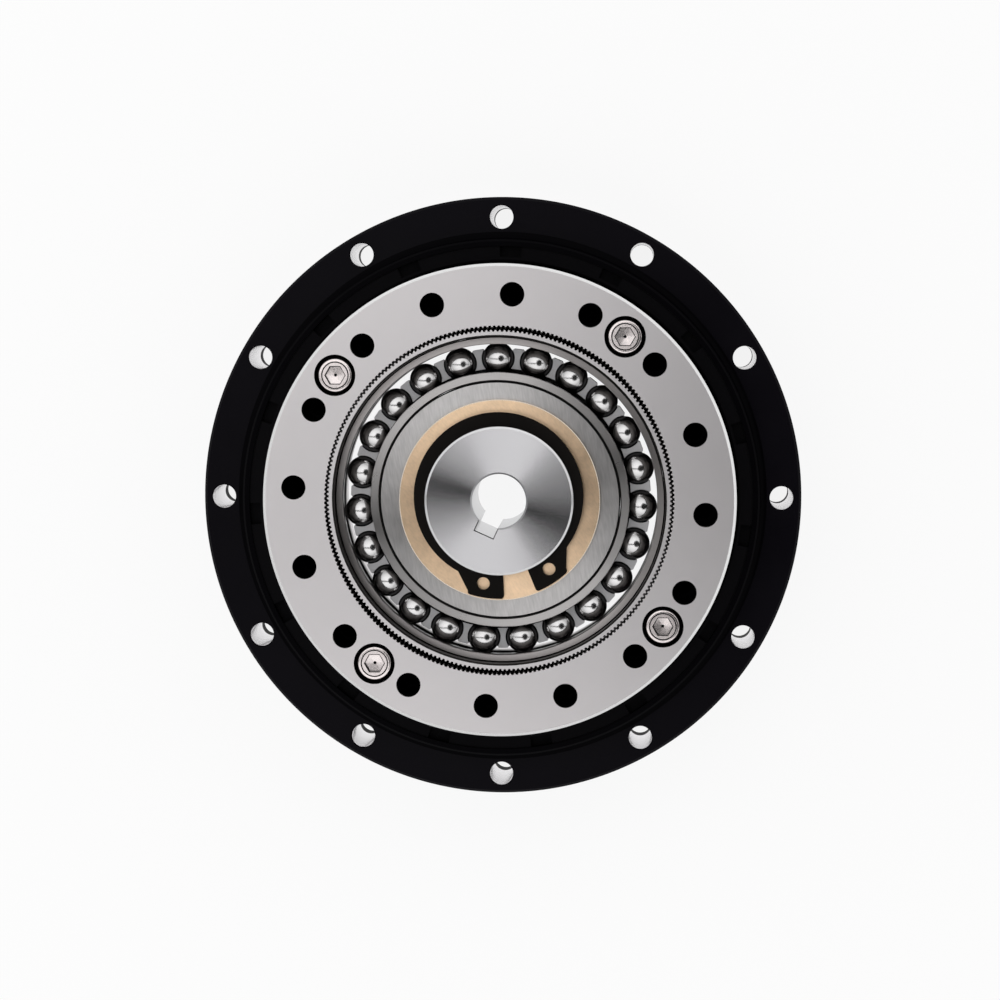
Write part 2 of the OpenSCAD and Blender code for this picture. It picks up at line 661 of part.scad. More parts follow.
// The snap ring: widest opposite its gap, with a lug and a plier hole at each end
module snap_ring() color([0.07, 0.07, 0.08]) {
    lug_end = snap_gap + lug_angle;
    slope = 11;
    outer_r = snap_r + (snap_back_w + snap_side_w) / 2;
    shift = (snap_back_w - snap_side_w) / 2;
    hole_r = (snap_r + lug_reach) / 2;
    translate([0, 0, snap_z]) rotate([0, 0, snap_angle]) linear_extrude(snap_t) difference() {
        union() {
            translate([-shift, 0]) circle(r = outer_r, $fn = round_fn);
            polygon(concat([[0, 0]],
                [[outer_r * cos(lug_end + slope), -outer_r * sin(lug_end + slope)]],
                arc(0, 0, lug_reach, -lug_end, lug_end, 12),
                [[outer_r * cos(lug_end + slope), outer_r * sin(lug_end + slope)]]));
        }
        circle(r = snap_r, $fn = round_fn);
        polygon([[0, 0], [2 * lug_reach * cos(snap_gap), -2 * lug_reach * sin(snap_gap)],
                 [2 * lug_reach * cos(snap_gap), 2 * lug_reach * sin(snap_gap)]]);
        for (s = [-1, 1])
            rotate(s * (snap_gap + lug_angle * 0.62)) translate([hole_r, 0])
                circle(d = lug_hole_d, $fn = 32);
    }
}

module wave_balls() color([0.8, 0.8, 0.8])
    ring_of(balls, ball_circle_r, ball_angle) translate([0, 0, ball_z]) sphere(d = ball_d, $fn = 48);

// The comb cage: a ring behind the balls with a pillar between each pair
module ball_cage() color([0.55, 0.55, 0.56]) difference() {
    rotate_extrude($fn = round_fn)
        translate([cage_r, cage_z]) square([cage_w, ball_z + cage_above - cage_z]);
    ring_of(balls, ball_circle_r, ball_angle) translate([0, 0, ball_z]) sphere(r = pocket_r, $fn = 48);
}

flexspline();
bearing_outer_ring();
filling_plug();
filling_plug_pin();
flange_oring();
rear_screws();
seal_ring();
wave_outer_race();
circular_spline();
bearing_inner_ring();
spline_screws();
crossed_rollers();
roller_spacers();
wave_plug();
wave_inner_race();
wave_balls();
ball_cage();
oldham_disc();
input_hub();
rub_washer();
snap_ring();
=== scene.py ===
"""Finish of a strain wave gear: its pieces as worked-out surfaces around the fixed frame, its metals and its studio.

Lengths are in millimetres until a mesh is made, and angles in degrees. Z is the gear's axis.
"""
import json
import math

import bmesh
import bpy
import numpy as np
from mathutils import Matrix, Vector
from mathutils.geometry import delaunay_2d_cdt


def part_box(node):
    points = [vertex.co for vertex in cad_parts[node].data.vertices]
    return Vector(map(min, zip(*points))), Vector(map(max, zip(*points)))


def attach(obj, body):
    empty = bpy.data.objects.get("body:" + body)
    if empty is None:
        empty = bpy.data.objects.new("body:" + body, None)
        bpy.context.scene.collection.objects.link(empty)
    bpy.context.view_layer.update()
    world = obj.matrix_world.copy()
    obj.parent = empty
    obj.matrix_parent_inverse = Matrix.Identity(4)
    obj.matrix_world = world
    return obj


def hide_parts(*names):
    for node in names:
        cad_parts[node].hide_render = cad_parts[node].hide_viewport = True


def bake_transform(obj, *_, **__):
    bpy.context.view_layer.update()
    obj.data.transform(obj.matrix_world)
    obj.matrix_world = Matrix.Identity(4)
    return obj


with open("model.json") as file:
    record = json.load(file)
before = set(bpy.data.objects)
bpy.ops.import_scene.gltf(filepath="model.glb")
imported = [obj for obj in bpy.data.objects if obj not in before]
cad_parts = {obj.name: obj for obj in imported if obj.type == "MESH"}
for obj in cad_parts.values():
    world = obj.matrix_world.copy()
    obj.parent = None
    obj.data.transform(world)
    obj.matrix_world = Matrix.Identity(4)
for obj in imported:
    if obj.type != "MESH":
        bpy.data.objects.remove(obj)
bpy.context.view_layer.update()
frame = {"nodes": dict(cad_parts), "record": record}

MM = 0.001
TURN = 360.0


def reach(node):
    """The largest distance from the axis that a round node has, from its box."""
    low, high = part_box(node)
    return max(high.x, high.y, -low.x, -low.y) / MM


def heights(node):
    """The lowest and the highest point of a node."""
    low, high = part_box(node)
    return low.z / MM, high.z / MM


# Driving sizes: what the frame's boxes and mounts give comes from them
MOUNTS = {mount["name"]: mount for mount in frame["record"]["mounts"]}
HOUSING_HOLES = MOUNTS["housing_holes"]["dims"]
OUTPUT_HOLES = MOUNTS["output_holes"]["dims"]
SHAFT_R = MOUNTS["shaft_bore"]["dims"]["r_mm"]
HOUSING_R = reach("bearing_outer_ring")
SPLINE_R = reach("circular_spline")
SPLINE_BACK, FRONT = heights("circular_spline")
RING_BACK, SHOULDER_TOP = heights("bearing_outer_ring")
BEARING_BACK, BEARING_FRONT = heights("wave_inner_race")
RIM_TOP = heights("flexspline")[1]

WAVE_ANGLE = -26.0
WAVE_H = 0.22
FLEX_TEETH = 240
PITCH_D = 50.8
MODULE = PITCH_D / FLEX_TEETH
PITCH = math.pi * MODULE
FLEX_TIP_R = PITCH_D / 2 + 0.57 * MODULE
FLEX_ROOT_R = PITCH_D / 2 - 1.13 * MODULE
SPLINE_TIP_R = FLEX_ROOT_R + WAVE_H + 0.19 * MODULE
SPLINE_ROOT_R = FLEX_TIP_R + WAVE_H + 0.38 * MODULE
RIM_WALL = 0.79
RIM_BORE_R = FLEX_ROOT_R - RIM_WALL
FIRST_HOLE = 30.0
SPLINE_SCREW_ANGLE = 52.6
KEY_ANGLE = -114.3
SNAP_ANGLE = -77.4
BALLS = 23
BALL_R = 4.7625 / 2
BALL_ANGLE = 91.0
BALL_Z = (BEARING_BACK + BEARING_FRONT) / 2
BALL_CIRCLE_R = reach("wave_balls") - BALL_R
NOTCH_STEPS = 96


# Outlines and surfaces

def polar(radius, angle):
    """Points at a radius and an angle, one each or as arrays."""
    turned = np.radians(angle)
    return np.stack([radius * np.cos(turned), radius * np.sin(turned)], axis=-1)


def circle(radius, sides, centre=(0.0, 0.0)):
    """A circle's points, anticlockwise from the X axis."""
    return polar(np.full(sides, float(radius)), TURN * np.arange(sides) / sides) + np.array(centre)


def arc(centre, radius, start, end, steps):
    """Points of an arc from one angle to another, both ends among them."""
    angles = np.linspace(start, end, steps + 1)
    return polar(np.full(len(angles), float(radius)), angles) + np.array(centre)


def bent(radius, angle, share=1.0):
    """A circle's radius where the wave has bent it: it rises and falls twice in a turn."""
    return radius + WAVE_H * share * np.cos(2 * np.radians(angle - WAVE_ANGLE))


def places(count, radius, start):
    """Centres of equal holes or screws on a bolt circle."""
    return polar(np.full(count, float(radius)), start + TURN * np.arange(count) / count)


def inside(points, loop):
    """Which points lie inside a closed loop: those with an odd number of edges to their right."""
    x, y = points[:, None, 0], points[:, None, 1]
    ax, ay = loop[None, :, 0], loop[None, :, 1]
    bx, by = np.roll(ax, -1, 1), np.roll(ay, -1, 1)
    crosses = (ay > y) != (by > y)
    rise = np.where(by == ay, 1.0, by - ay)
    return (crosses & (x < ax + (y - ay) * (bx - ax) / rise)).sum(1) % 2 == 1


class Surface:
    """Points and faces of one piece while it is put together."""

    def __init__(self):
        self.points, self.faces, self.finishes, self.count = [], [], [], 0

    def add(self, points, faces, finish=0):
        points = np.asarray(points, float).reshape(-1, 3)
        self.points.append(points)
        self.faces += (np.asarray(faces) + self.count).tolist()
        self.finishes += np.broadcast_to(finish, len(faces)).tolist()
        self.count += len(points)

    def wall(self, rings, closed=False, finish=0):
        """Quads between closed rings of equally many points; a closed wall joins the last ring to the first.

        The finish is one number, a row for the places round each ring, or a column for the steps between rings.
        """
        rings = np.asarray(rings, float)
        index = np.arange(rings.shape[0] * rings.shape[1]).reshape(rings.shape[:2])
        if closed:
            index = np.vstack([index, index[:1]])
        near, far = index[:-1], index[1:]
        quads = np.stack([near, np.roll(near, -1, 1), np.roll(far, -1, 1), far], -1)
        self.add(rings, quads.reshape(-1, 4), np.broadcast_to(finish, quads.shape[:2]).ravel())

    def flat(self, height, *loops, finish=0):
        """A flat face at one height: triangles inside the first loop and outside the others."""
        points = np.vstack(loops)
        starts = np.cumsum([0] + [len(loop) for loop in loops])
        edges = [(int(a + k), int(a + (k + 1) % (b - a))) for a, b in zip(starts, starts[1:]) for k in range(b - a)]
        made = delaunay_2d_cdt([Vector(p) for p in points], edges, [], 0, 1e-7)
        corners = np.array([tuple(v) for v in made[0]])
        corners[:len(points)] = points
        triangles = np.array(made[2])
        middles = corners[triangles].mean(1)
        kept = inside(middles, loops[0])
        for loop in loops[1:]:
            kept &= ~inside(middles, loop)
        self.add(np.column_stack([corners, np.full(len(corners), height)]), triangles[kept], finish)

    def bore(self, centre, steps, sides=40, finish=0):
        """A round wall that follows [radius, height] steps about an upright axis."""
        self.wall([lift(circle(r, sides, centre), z) for r, z in steps], finish=finish)


def lift(loop, height):
    """A plane loop raised to a height."""
    return np.column_stack([loop, np.full(len(loop), float(height))])


def turned(profile, sides, share=0.0):
    """Rings of a profile of [radius, height] carried round the axis, or round the bent circle where share is 1."""
    angles = TURN * np.arange(sides) / sides
    return [lift(polar(bent(r, angles, share), angles), z) for r, z in profile]


def finished(name, surface, materials, body, stands_for=(), smooth_under=30.0):
    """Makes the mesh: doubles merged, faces turned outwards, edges sharper than an angle kept sharp."""
    mesh = bpy.data.meshes.new(name)
    mesh.from_pydata((np.vstack(surface.points) * MM).tolist(), [], surface.faces)
    mesh.polygons.foreach_set("material_index", surface.finishes)
    work = bmesh.new()
    work.from_mesh(mesh)
    bmesh.ops.remove_doubles(work, verts=work.verts, dist=2e-3 * MM)
    bmesh.ops.recalc_face_normals(work, faces=work.faces)
    work.to_mesh(mesh)
    work.free()
    mesh.shade_smooth()
    mesh.set_sharp_from_angle(angle=math.radians(smooth_under))
    piece = bpy.data.objects.new(name, mesh)
    bpy.context.scene.collection.objects.link(piece)
    for material in materials:
        mesh.materials.append(material)
    if stands_for:
        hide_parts(*stands_for)
    if body:
        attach(piece, body)
    return piece


# Shader nodes

class Wire:
    """A number on a socket. Arithmetic on it adds Math nodes."""

    def __init__(self, graph, socket):
        self.graph, self.socket = graph, socket

    def math(self, operation, first, second):
        return self.graph.node("ShaderNodeMath", {"operation": operation}, {0: first, 1: second})

    def __add__(self, other):
        return self.math("ADD", self, other)

    def __mul__(self, other):
        return self.math("MULTIPLY", self, other)

    def __sub__(self, other):
        return self.math("SUBTRACT", self, other)

    def __rsub__(self, other):
        return self.math("SUBTRACT", other, self)

    __radd__ = __add__
    __rmul__ = __mul__


class Graph:
    """The nodes of one material, or of the world."""

    def __init__(self, owner):
        owner.use_nodes = True
        self.tree = owner.node_tree
        self.tree.nodes.clear()

    def node(self, kind, settings=None, sockets=None, output=0):
        """Adds a node: its settings or a ramp's stops first, then the values or links of its sockets."""
        made = self.tree.nodes.new(kind)
        for name, value in (settings or {}).items():
            if name == "stops":
                ramp = made.color_ramp.elements
                while len(ramp) < len(value):
                    ramp.new(0.5)
                for element, (position, grey) in zip(ramp, value):
                    element.position, element.color = position, (grey, grey, grey, 1.0)
            else:
                setattr(made, name, value)
        for key, value in (sockets or {}).items():
            if isinstance(value, Wire):
                self.tree.links.new(value.socket, made.inputs[key])
            else:
                made.inputs[key].default_value = value
        return Wire(self, made.outputs[output]) if made.outputs else None

    def grain(self, scale, stretch=(1.0, 1.0, 1.0), turn=0.0, detail=3.0):
        """Noise from 0 to 1 on the piece's own coordinates, in features per metre, stretched along turned axes."""
        place = self.node("ShaderNodeTexCoord", output="Object")
        laid = self.node("ShaderNodeMapping", {"vector_type": "TEXTURE"},
                         {"Vector": place, "Rotation": (0.0, 0.0, math.radians(turn)), "Scale": stretch})
        return self.node("ShaderNodeTexNoise", None, {"Vector": laid, "Scale": scale, "Detail": detail})


def finish(name, colour, roughness, metallic=1.0, mottle=0.05, mottle_scale=300.0, fleck=(6000.0,), fleck_tone=0.05,
           fleck_gloss=0.15, dent=0.0, constants=None):
    """A worked surface: its colour and gloss drift with a broad mottle, and a fine fleck tints, dulls and dents it.

    fleck is (scale, stretch, turn) of the fine grain, and dent is its depth in metres.
    """
    made = bpy.data.materials.new(name)
    graph = Graph(made)
    broad = graph.grain(mottle_scale)
    fine = graph.grain(*fleck)
    light = 1.0 + (broad - 0.5) * (2 * mottle) + (fine - 0.5) * (2 * fleck_tone)
    tone = graph.node("ShaderNodeVectorMath", {"operation": "SCALE"}, {0: colour, "Scale": light})
    sockets = {"Base Color": tone, "Metallic": metallic,
               "Roughness": (broad - 0.5) * (2 * mottle * roughness) + (fine - 0.5) * (2 * fleck_gloss * roughness)
               + roughness}
    if dent:
        sockets["Normal"] = graph.node("ShaderNodeBump", None, {"Height": fine, "Distance": dent, "Strength": 1.0})
    sockets.update(constants or {})
    shader = graph.node("ShaderNodeBsdfPrincipled", None, sockets)
    graph.node("ShaderNodeOutputMaterial", None, {"Surface": shader})
    return made


def finishes():
    """Every material by its own name."""
    faced = {"Anisotropic": 0.95, "Anisotropic Rotation": 0.21}
    lapped = {"Anisotropic": 0.8, "Anisotropic Rotation": 0.21}
    return {
        "spline": finish("ground_light_steel", (0.635, 0.61, 0.616), 0.35, mottle=0.02, fleck=(7000.0,),
                         fleck_tone=0.03, fleck_gloss=0.05, dent=5e-8),
        # painted highlight: a brighter copy of the ring's steel on its outer chamfer
        "edge": finish("bright_edge", (0.88, 0.88, 0.88), 0.2, mottle=0.02),
        # painted highlight: a brighter copy of the hub's steel on its top chamfer
        "hub_edge": finish("bright_hub_edge", (0.74, 0.74, 0.75), 0.25, mottle=0.02),
        # painted shade: near-black steel on the tooth flanks and the cup's rim bore, standing in for the shade between
        # the teeth
        "flank": finish("oiled_tooth_steel", (0.03, 0.028, 0.027), 0.4, fleck=(4000.0,)),
        # painted shade: dark steel on the ball grooves and the races' hidden faces, standing in for the shade about the
        # balls
        "groove": finish("oiled_groove_steel", (0.1, 0.093, 0.09), 0.3, fleck=(4000.0,)),
        # painted shade: near-black on hole walls, counterbores, the cup's hidden outside and the bearing's inner ring,
        # standing in for the shade down holes and gaps
        "hole": finish("black_oxide_hole", (0.002, 0.002, 0.002), 0.5, metallic=0.0, fleck=(4000.0,),
                       constants={"Specular IOR Level": 0.03}),
        "flex": finish("fine_cup_steel", (0.635, 0.612, 0.618), 0.33, mottle=0.04, fleck=(7000.0,), dent=1e-7),
        "outer_race": finish("outer_race_steel", (0.41, 0.385, 0.378), 0.3, fleck=(6000.0,), fleck_gloss=0.02,
                             constants=faced),
        "race": finish("inner_race_steel", (0.43, 0.415, 0.41), 0.28, fleck=(6000.0,), fleck_gloss=0.02,
                       constants=faced),
        "plug": finish("plug_steel", (0.48, 0.467, 0.464), 0.31, mottle=0.08, mottle_scale=500.0,
                       fleck=(3000.0, (0.8, 7.0, 1.0), 10.0), fleck_tone=0.25, dent=1e-6, constants=lapped),
        "hub": finish("turned_hub_steel", (0.62, 0.612, 0.628), 0.215, mottle=0.01, fleck_tone=0.02,
                      fleck_gloss=0.0, constants={"Anisotropic": 0.97, "Anisotropic Rotation": 0.295}),
        "bore": finish("reamed_steel", (0.6, 0.6, 0.61), 0.25),
        "ball": finish("polished_ball_steel", (0.68, 0.67, 0.67), 0.18, mottle=0.02, fleck_gloss=0.0),
        # painted shade: the balls' lower parts are coloured nearly black to stand in for the shade in their pockets
        "greased": finish("greased_ball_steel", (0.07, 0.066, 0.066), 0.3, mottle=0.05, fleck_gloss=0.05),
        "pocket": finish("shaded_pocket_nylon", (0.035, 0.035, 0.037), 0.5, metallic=0.0, fleck=(4000.0,)),
        "cage": finish("grey_nylon", (0.58, 0.575, 0.585), 0.5, metallic=0.0, fleck=(4000.0,), dent=4e-6),
        "bronze": finish("satin_bronze", (0.81, 0.59, 0.395), 0.33, mottle=0.16, mottle_scale=420.0,
                         fleck=(3500.0, (1.0, 2.5, 1.0), 40.0), fleck_tone=0.14, dent=1e-6,
                         constants={"Anisotropic": 0.7, "Anisotropic Rotation": 0.23}),
        # painted highlight: a brighter copy of the bronze on the washer's outer chamfer
        "bronze_edge": finish("bright_bronze_edge", (0.95, 0.86, 0.74), 0.25, mottle=0.05),
        "snap": finish("phosphated_black", (0.0055, 0.0045, 0.004), 0.45, metallic=0.0, mottle=0.3,
                       fleck=(5000.0,), fleck_tone=0.2, dent=2e-6, constants={"Specular IOR Level": 0.05}),
        "black": finish("black_oxide", (0.0031, 0.0025, 0.0042), 0.34, metallic=0.0, mottle=0.3, mottle_scale=90.0,
                        fleck=(6000.0,), dent=1e-6, constants={"Specular IOR Level": 0.045}),
        "turned_black": finish("black_oxide_turned", (0.001, 0.0008, 0.0014), 0.34, metallic=0.0, mottle=0.3,
                               fleck=(6000.0,), dent=1e-6, constants={"Specular IOR Level": 0.02}),
        "rubber": finish("matt_rubber", (0.0022, 0.002, 0.0026), 0.6, metallic=0.0, mottle=0.3, fleck=(5000.0,),
                         dent=5e-6, constants={"Specular IOR Level": 0.04}),
        "screw": finish("bright_screw_steel", (0.78, 0.715, 0.705), 0.22, fleck=(2600.0,), fleck_tone=0.1, dent=2e-6),
        "bare": finish("drilled_steel", (0.9, 0.885, 0.9), 0.25, fleck=(3000.0, (8.0, 8.0, 0.5)), dent=5e-6),
        # blackened steel on the rear screws, and dark painted shade on the plug's outer wall, the keyway's mouth and
        # the screws' cut rings and sockets
        "dark": finish("blackened_steel", (0.012, 0.012, 0.013), 0.4, metallic=0.8),
        "oldham": finish("ground_disc_steel", (0.36, 0.36, 0.37), 0.32),
        "roller": finish("roller_steel", (0.6, 0.6, 0.6), 0.12),
        "spacer": finish("pale_nylon", (0.68, 0.65, 0.56), 0.45, metallic=0.0),
    }


# The toothed ring and the cup

def on_rim(angle, along, out):
    """Points of the bent rim: angle is the place before bending, along runs with the rim and out away from it."""
    neutral = FLEX_ROOT_R - RIM_WALL / 2
    phase = 2 * np.radians(angle - WAVE_ANGLE)
    radius = neutral + WAVE_H * np.cos(phase)
    slip = WAVE_H * np.sin(phase) / neutral
    middle = angle - np.degrees(slip) / 2
    leaning = middle + 1.5 * np.degrees(slip)
    lean = np.radians(leaning)
    return polar(radius, middle) + np.stack([out * np.cos(lean) - along * np.sin(lean),
                                             out * np.sin(lean) + along * np.cos(lean)], -1)


def flex_outline(broken=0.0, shorter=0.0):
    """The cup's teeth: four corners of a straight-sided tooth for each, bent, made narrower by a broken edge."""
    neutral = FLEX_ROOT_R - RIM_WALL / 2
    tip_share, root_share, root_cut, flank_cut = 0.15, 0.39, 0.8, 1.1
    slope = (root_share - tip_share) * PITCH / (FLEX_TIP_R - FLEX_ROOT_R)
    starts = WAVE_ANGLE + TURN * np.arange(FLEX_TEETH) / FLEX_TEETH
    tip_r, root_r = FLEX_TIP_R - broken - shorter, FLEX_ROOT_R - root_cut * broken
    narrower = flank_cut * broken
    tip_half = tip_share * PITCH + slope * (FLEX_TIP_R - tip_r) - narrower
    root_half = root_share * PITCH + slope * (FLEX_ROOT_R - root_r) - narrower
    along = np.array([-root_half, -tip_half, tip_half, root_half])
    out = np.array([root_r, tip_r, tip_r, root_r]) - neutral
    angles = np.repeat(starts, len(along))
    return on_rim(angles, np.tile(along, FLEX_TEETH), np.tile(out, FLEX_TEETH))


def spline_outline(broken=0.0, shorter=0.0):
    """The ring's tooth spaces: four corners of a straight-sided space for each, made wider by a broken edge."""
    count = FLEX_TEETH + 2
    tip_share, root_share, tip_cut, root_cut, flank_cut = 0.414, 0.165, 1.3, 0.8, 1.08
    slope = (tip_share - root_share) * PITCH / (SPLINE_ROOT_R - SPLINE_TIP_R)
    tip_r, root_r = SPLINE_TIP_R + tip_cut * broken + shorter, SPLINE_ROOT_R + root_cut * broken
    wider = flank_cut * broken
    tip_half = tip_share * PITCH - slope * (tip_r - SPLINE_TIP_R) + wider
    root_half = root_share * PITCH - slope * (root_r - SPLINE_ROOT_R) + wider
    along = np.array([-tip_half, -root_half, root_half, tip_half])
    radii = np.array([tip_r, root_r, root_r, tip_r])
    starts = np.repeat(WAVE_ANGLE + TURN * np.arange(count) / count, len(along))
    return polar(np.tile(radii, count), starts + np.tile(np.degrees(along / radii), count))


def circular_spline(metals):
    """The toothed ring: flat ground faces with holes, and walls that join their loops."""
    edge, sides, broken, tooth_edge = 0.4, 360, 0.06, 0.07
    relief_r, relief_top = SPLINE_R - 0.5, FRONT - 4.2
    step_r, step_top = 28.24, SPLINE_BACK + 0.82
    hole_r, head_bore_r, head_seat, shank_r = OUTPUT_HOLES["hole_r_mm"], 3.0, FRONT - 3.3, 1.55
    bolt_r = OUTPUT_HOLES["pcd_mm"] / 2
    count = OUTPUT_HOLES["count"]
    holes = places(count, bolt_r, SPLINE_SCREW_ANGLE + TURN / 2 / count)
    screws = places(4, bolt_r, SPLINE_SCREW_ANGLE)
    teeth, mouth = spline_outline(), spline_outline(tooth_edge, shorter=0.17)
    ring = Surface()
    ring.flat(FRONT, circle(SPLINE_R - edge, sides), mouth,
              *[circle(hole_r + broken, 40, c) for c in holes],
              *[circle(head_bore_r + broken, 40, c) for c in screws])
    # the outer chamfer takes the painted highlight
    ring.wall(turned([(SPLINE_R - edge, FRONT), (SPLINE_R, FRONT - 0.75 * edge)], sides), finish=3)
    ring.wall(turned([(SPLINE_R, FRONT - 0.75 * edge), (SPLINE_R, relief_top), (relief_r, relief_top),
                      (relief_r, SPLINE_BACK + edge), (relief_r - edge, SPLINE_BACK)], sides))
    # the tooth walls take the near-black painted shade
    ring.wall([lift(mouth, FRONT), lift(teeth, FRONT - 1.5 * tooth_edge), lift(teeth, step_top)], finish=2)
    ring.flat(step_top, circle(step_r, sides), teeth)
    ring.wall(turned([(step_r, step_top), (step_r, SPLINE_BACK)], sides))
    ring.flat(SPLINE_BACK, circle(relief_r - edge, sides), circle(step_r, sides),
              *[circle(hole_r, 40, c) for c in holes], *[circle(shank_r, 40, c) for c in screws])
    # the walls of the holes and the screws' counterbores take the near-black painted shade
    for centre in holes:
        ring.bore(centre, [(hole_r + broken, FRONT), (hole_r, FRONT - broken), (hole_r, SPLINE_BACK)], finish=1)
    for centre in screws:
        ring.bore(centre, [(head_bore_r + broken, FRONT), (head_bore_r, FRONT - broken), (head_bore_r, head_seat),
                           (shank_r, head_seat), (shank_r, SPLINE_BACK)], finish=1)
    used = [metals[name] for name in ("spline", "hole", "flank", "edge")]
    return finished("toothed_output_ring", ring, used, "output",
                    ["circular_spline"])


def flexspline(metals):
    """The thin cup: flange, diaphragm and tube turned from one profile, and a toothed rim bent into the wave.

    The tube takes up the wave in proportion to its height.
    """
    sides, flange_r, recess_r = 240, HOUSING_R - 0.5, 37.0
    under, over, bend = 1.2, 1.65, 2.0
    tube_in = RIM_BORE_R + 0.06
    tube_out = tube_in + 0.42
    foot_in, foot_out, foot_top = tube_in - 0.07, tube_out + 0.07, 4.65
    rim_z, edge, mouth, tooth_edge = RIM_TOP - 8.6, 0.08, 0.25, 0.07
    climb = np.linspace(foot_top, rim_z, 46)
    rising = (climb - under) / (rim_z - under)
    angles = TURN * np.arange(sides) / sides
    teeth, face = flex_outline(), flex_outline(tooth_edge, shorter=0.09)
    cup = Surface()

    def smooth(steps):
        return [lift(polar(bent(r, angles, s), angles), z) for r, z, s in steps]

    top_arc = arc((recess_r - 0.7, over + 0.8), 0.8, 0, -90, 6)
    bend_out = arc((foot_out + bend, over + bend), bend, 270, 180, 12)
    bend_in = arc((foot_out + bend, over + bend), bend + foot_out - foot_in, 180, 270, 12)
    low_arc = arc((recess_r - 0.9, under - 0.6), 0.6, 90, 0, 6)
    outside = [(recess_r + 0.6, RING_BACK, 0), *[(r, z, 0) for r, z in top_arc], *[(r, z, 0) for r, z in bend_out],
               *[(tube_out, z, s) for z, s in zip(climb, rising)]]
    inner = [(RIM_BORE_R + mouth, RIM_TOP, 1), (RIM_BORE_R, RIM_TOP - mouth, 1), (RIM_BORE_R, rim_z, 1),
             *[(tube_in, z, s) for z, s in zip(climb[::-1], rising[::-1])],
             *[(r, z, 0) for r, z in bend_in], *[(r, z, 0) for r, z in low_arc], (recess_r, 0.0, 0)]
    # the cup's outside takes the near-black painted shade
    cup.wall(smooth(outside), finish=2)
    # the mouth chamfer and the rim's bore take the near-black painted shade
    cup.wall(smooth(inner), finish=np.array([[1, 1] + [0] * (len(inner) - 3)]).T)
    cup.flat(RIM_TOP, face, smooth([inner[0]])[0][:, :2])
    # the cup's tooth walls take the near-black painted shade
    cup.wall([lift(face, RIM_TOP), lift(teeth, RIM_TOP - 1.5 * tooth_edge), lift(teeth, rim_z)], finish=1)
    cup.flat(rim_z, teeth, smooth([outside[-1]])[0][:, :2])
    holes = places(HOUSING_HOLES["count"], HOUSING_HOLES["pcd_mm"] / 2, 0.0)
    sinks = places(4, HOUSING_HOLES["pcd_mm"] / 2, FIRST_HOLE / 2)
    hole_r = HOUSING_HOLES["hole_r_mm"]
    cup.flat(0.0, circle(flange_r - edge, sides), circle(recess_r, sides),
             *[circle(hole_r, 32, c) for c in holes], *[circle(2.0, 32, c) for c in sinks])
    cup.flat(RING_BACK, circle(flange_r, sides), circle(recess_r + 0.6, sides),
             *[circle(hole_r, 32, c) for c in holes], *[circle(1.1, 32, c) for c in sinks])
    cup.wall(turned([(flange_r - edge, 0.0), (flange_r, edge), (flange_r, RING_BACK)], sides))
    for centre in holes:
        # the flange holes' walls take the near-black painted shade
        cup.bore(centre, [(hole_r, 0.0), (hole_r, RING_BACK)], 32, finish=2)
    for centre in sinks:
        cup.bore(centre, [(2.0, 0.0), (1.1, 0.9), (1.1, RING_BACK)], 32)
    used = [metals[name] for name in ("flex", "flank", "hole")]
    piece = finished("thin_toothed_cup", cup, used, None, ["flexspline"])
    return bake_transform(piece, "housing", "wave_generator", start=(0, 0, foot_top * MM), end=(0, 0, (rim_z - 1) * MM))


# The output bearing's rings

def outer_ring(metals):
    """The black flanged ring: a turned profile with a fillet at the shoulder's foot, drilled through its flange."""
    sides, edge, fillet = 360, 0.4, 1.2
    ring_top, shoulder_r, seat_r, bore_r = RING_BACK + 13.2, 38.6, 37.6, 36.65
    roller_z, groove_r, groove_half = 9.7, 39.02, 2.37
    hole_r, broken = HOUSING_HOLES["hole_r_mm"], 0.15
    holes = places(HOUSING_HOLES["count"], HOUSING_HOLES["pcd_mm"] / 2, 0.0)
    foot = arc((shoulder_r + fillet, ring_top + fillet), fillet, 270, 180, 8)
    ring = Surface()
    ring.wall(turned([(HOUSING_R - edge / 2, RING_BACK), (HOUSING_R, RING_BACK + edge / 2),
                      (HOUSING_R, ring_top - edge), (HOUSING_R - edge, ring_top)], sides))
    ring.flat(ring_top, circle(HOUSING_R - edge, sides), circle(shoulder_r + fillet, sides),
              *[circle(hole_r + broken, 40, c) for c in holes])
    ring.wall(turned([*foot, (shoulder_r, SHOULDER_TOP - 0.3), (shoulder_r - 0.3, SHOULDER_TOP),
                      (seat_r, SHOULDER_TOP), (seat_r, SHOULDER_TOP - 2.1), (bore_r, SHOULDER_TOP - 2.1),
                      (bore_r, roller_z + groove_half), (groove_r, roller_z), (bore_r, roller_z - groove_half),
                      (bore_r, RING_BACK)], sides), finish=2)
    ring.flat(RING_BACK, circle(HOUSING_R - edge / 2, sides), circle(bore_r, sides),
              *[circle(hole_r, 40, c) for c in holes])
    for centre in holes:
        ring.bore(centre, [(hole_r + broken, ring_top), (hole_r, ring_top - broken), (hole_r, RING_BACK)],
                  finish=np.array([[0], [1]]))
    used = [metals[name] for name in ("black", "bare", "turned_black")]
    return finished("black_flanged_ring", ring, used, "housing", ["bearing_outer_ring"])


